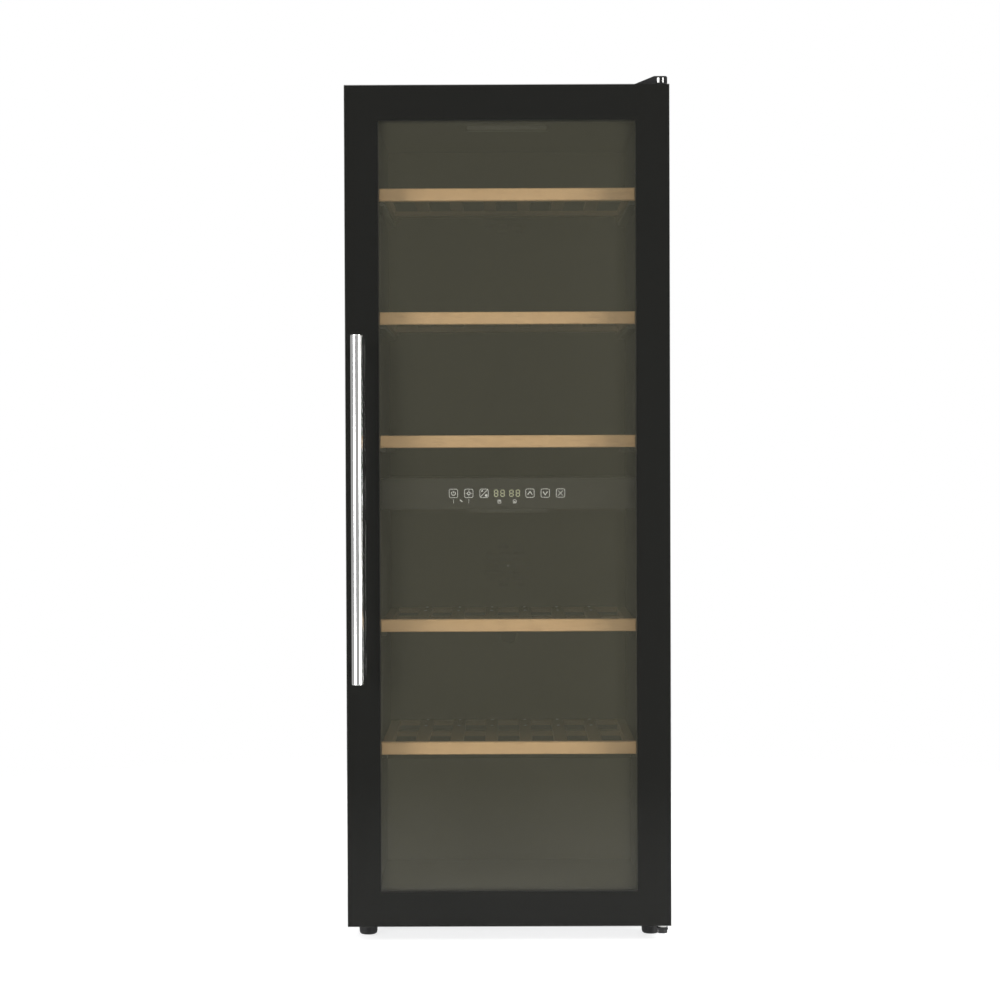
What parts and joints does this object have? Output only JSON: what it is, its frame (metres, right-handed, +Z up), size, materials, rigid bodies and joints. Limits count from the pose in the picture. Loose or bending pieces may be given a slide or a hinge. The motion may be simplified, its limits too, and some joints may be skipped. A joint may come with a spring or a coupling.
{
  "type": "wine cooler",
  "caption": "Tall two-zone wine cooler with a framed tinted-glass door, a round bar handle, sliding wooden shelves and a touch panel on the zone divider.",
  "frame": {"origin": "on the floor, under the centre of the whole cooler's box", "axes": "+Z up, -Y out of the door, +X to the right as seen from the front"},
  "size_m": [0.595, 0.68, 1.587],
  "materials": {
    "cabinet_paint": "satin",
    "galvanised_sheet": "satin",
    "rigid_foam": "matte",
    "liner_plastic": "matte",
    "black_plastic": "matte",
    "tinted_glass": "polished",
    "clear_glass": "polished",
    "door_profile": "satin",
    "spacer_bar": "matte",
    "seal_rubber": "matte",
    "brushed_stainless": "satin",
    "zinc_steel": "satin",
    "hinge_steel": "satin",
    "bush_nylon": "satin",
    "panel_glass": "gloss",
    "circuit_board": "satin",
    "light_lens": "satin",
    "fan_plastic": "satin",
    "motor_can": "satin",
    "coil_aluminium": "satin",
    "compressor_steel": "satin",
    "grommet_rubber": "matte",
    "beech": "satin"
  },
  "bodies": {
    "cabinet": {"side_panel_left": "cabinet_paint", "side_panel_right": "cabinet_paint", "top_panel": "cabinet_paint", "front_collar": "cabinet_paint", "back_panel": "galvanised_sheet", "base_pan": "galvanised_sheet", "machine_bulkhead": "galvanised_sheet", "machine_cover": "galvanised_sheet", "fan_stand_condenser": "galvanised_sheet", "insulation_foam": "rigid_foam", "inner_liner": "liner_plastic", "duct_cover_upper": "liner_plastic", "duct_cover_lower": "liner_plastic", "zone_divider": "liner_plastic", "shelf_runners": "liner_plastic", "carbon_filter": "black_plastic", "hinge_cover": "black_plastic", "power_inlet": "black_plastic", "foot_sockets": "black_plastic", "drip_tray": "black_plastic", "hinge_screws": "zinc_steel", "hinge_bracket_top": "hinge_steel", "hinge_bracket_bottom": "hinge_steel", "hinge_pins": "hinge_steel", "control_panel": "panel_glass", "control_board": "circuit_board", "light_bars": "light_lens", "fan_motors": "motor_can", "evaporator_upper": "coil_aluminium", "evaporator_lower": "coil_aluminium", "condenser": "coil_aluminium", "compressor": "compressor_steel", "compressor_grommets": "grommet_rubber"},
    "door": {"door_glass_outer": "tinted_glass", "door_glass_inner": "clear_glass", "glazing_spacer": "spacer_bar", "door_frame": "door_profile", "door_gasket": "seal_rubber", "handle_bar": "brushed_stainless", "handle_posts": "brushed_stainless", "handle_screws": "zinc_steel", "hinge_bushes": "bush_nylon"},
    "shelf_1": {"shelf_1_fascia": "beech", "shelf_1_rack": "beech"},
    "shelf_2": {"shelf_2_fascia": "beech", "shelf_2_rack": "beech"},
    "shelf_3": {"shelf_3_fascia": "beech", "shelf_3_rack": "beech"},
    "shelf_4": {"shelf_4_fascia": "beech", "shelf_4_rack": "beech"},
    "shelf_5": {"shelf_5_fascia": "beech", "shelf_5_rack": "beech"},
    "foot_front_left": {"foot_front_left": "black_plastic"},
    "foot_front_right": {"foot_front_right": "black_plastic"},
    "foot_rear_left": {"foot_rear_left": "black_plastic"},
    "foot_rear_right": {"foot_rear_right": "black_plastic"},
    "fan_upper": {"fan_rotor_upper": "fan_plastic"},
    "fan_lower": {"fan_rotor_lower": "fan_plastic"},
    "fan_condenser": {"fan_rotor_condenser": "fan_plastic"}
  },
  "joints": [
    {"name": "door_hinge", "type": "hinge", "parent": "cabinet", "child": "door", "pos_m": [0.282, -0.254, 0.033], "axis": [0, 0, 1], "range_deg": [0, 110]},
    {"name": "shelf_1_slide", "type": "slide", "parent": "cabinet", "child": "shelf_1", "axis": [0, -1, 0], "range_m": [0, 0.125]},
    {"name": "shelf_2_slide", "type": "slide", "parent": "cabinet", "child": "shelf_2", "axis": [0, -1, 0], "range_m": [0, 0.125]},
    {"name": "shelf_3_slide", "type": "slide", "parent": "cabinet", "child": "shelf_3", "axis": [0, -1, 0], "range_m": [0, 0.125]},
    {"name": "shelf_4_slide", "type": "slide", "parent": "cabinet", "child": "shelf_4", "axis": [0, -1, 0], "range_m": [0, 0.125]},
    {"name": "shelf_5_slide", "type": "slide", "parent": "cabinet", "child": "shelf_5", "axis": [0, -1, 0], "range_m": [0, 0.125]},
    {"name": "foot_front_left_turn", "type": "hinge", "parent": "cabinet", "child": "foot_front_left", "pos_m": [-0.264, -0.19, 0], "axis": [0, 0, 1], "continuous": true},
    {"name": "foot_front_right_turn", "type": "hinge", "parent": "cabinet", "child": "foot_front_right", "pos_m": [0.264, -0.19, 0], "axis": [0, 0, 1], "continuous": true},
    {"name": "foot_rear_left_turn", "type": "hinge", "parent": "cabinet", "child": "foot_rear_left", "pos_m": [-0.264, 0.3, 0], "axis": [0, 0, 1], "continuous": true},
    {"name": "foot_rear_right_turn", "type": "hinge", "parent": "cabinet", "child": "foot_rear_right", "pos_m": [0.264, 0.3, 0], "axis": [0, 0, 1], "continuous": true},
    {"name": "fan_upper_spin", "type": "hinge", "parent": "cabinet", "child": "fan_upper", "pos_m": [0, 0.253, 1.388], "axis": [0, 1, 0], "continuous": true},
    {"name": "fan_lower_spin", "type": "hinge", "parent": "cabinet", "child": "fan_lower", "pos_m": [0, 0.253, 0.6686], "axis": [0, 1, 0], "continuous": true},
    {"name": "fan_condenser_spin", "type": "hinge", "parent": "cabinet", "child": "fan_condenser", "pos_m": [0.0625, 0.25, 0.1095], "axis": [1, 0, 0], "continuous": true}
  ],
  "couplings": [
    {"joint": "shelf_1_slide", "follows": "door_hinge", "m_per_rad": 0.065},
    {"joint": "shelf_2_slide", "follows": "door_hinge", "m_per_rad": 0.065},
    {"joint": "shelf_3_slide", "follows": "door_hinge", "m_per_rad": 0.065},
    {"joint": "shelf_4_slide", "follows": "door_hinge", "m_per_rad": 0.065},
    {"joint": "shelf_5_slide", "follows": "door_hinge", "m_per_rad": 0.065}
  ]
}
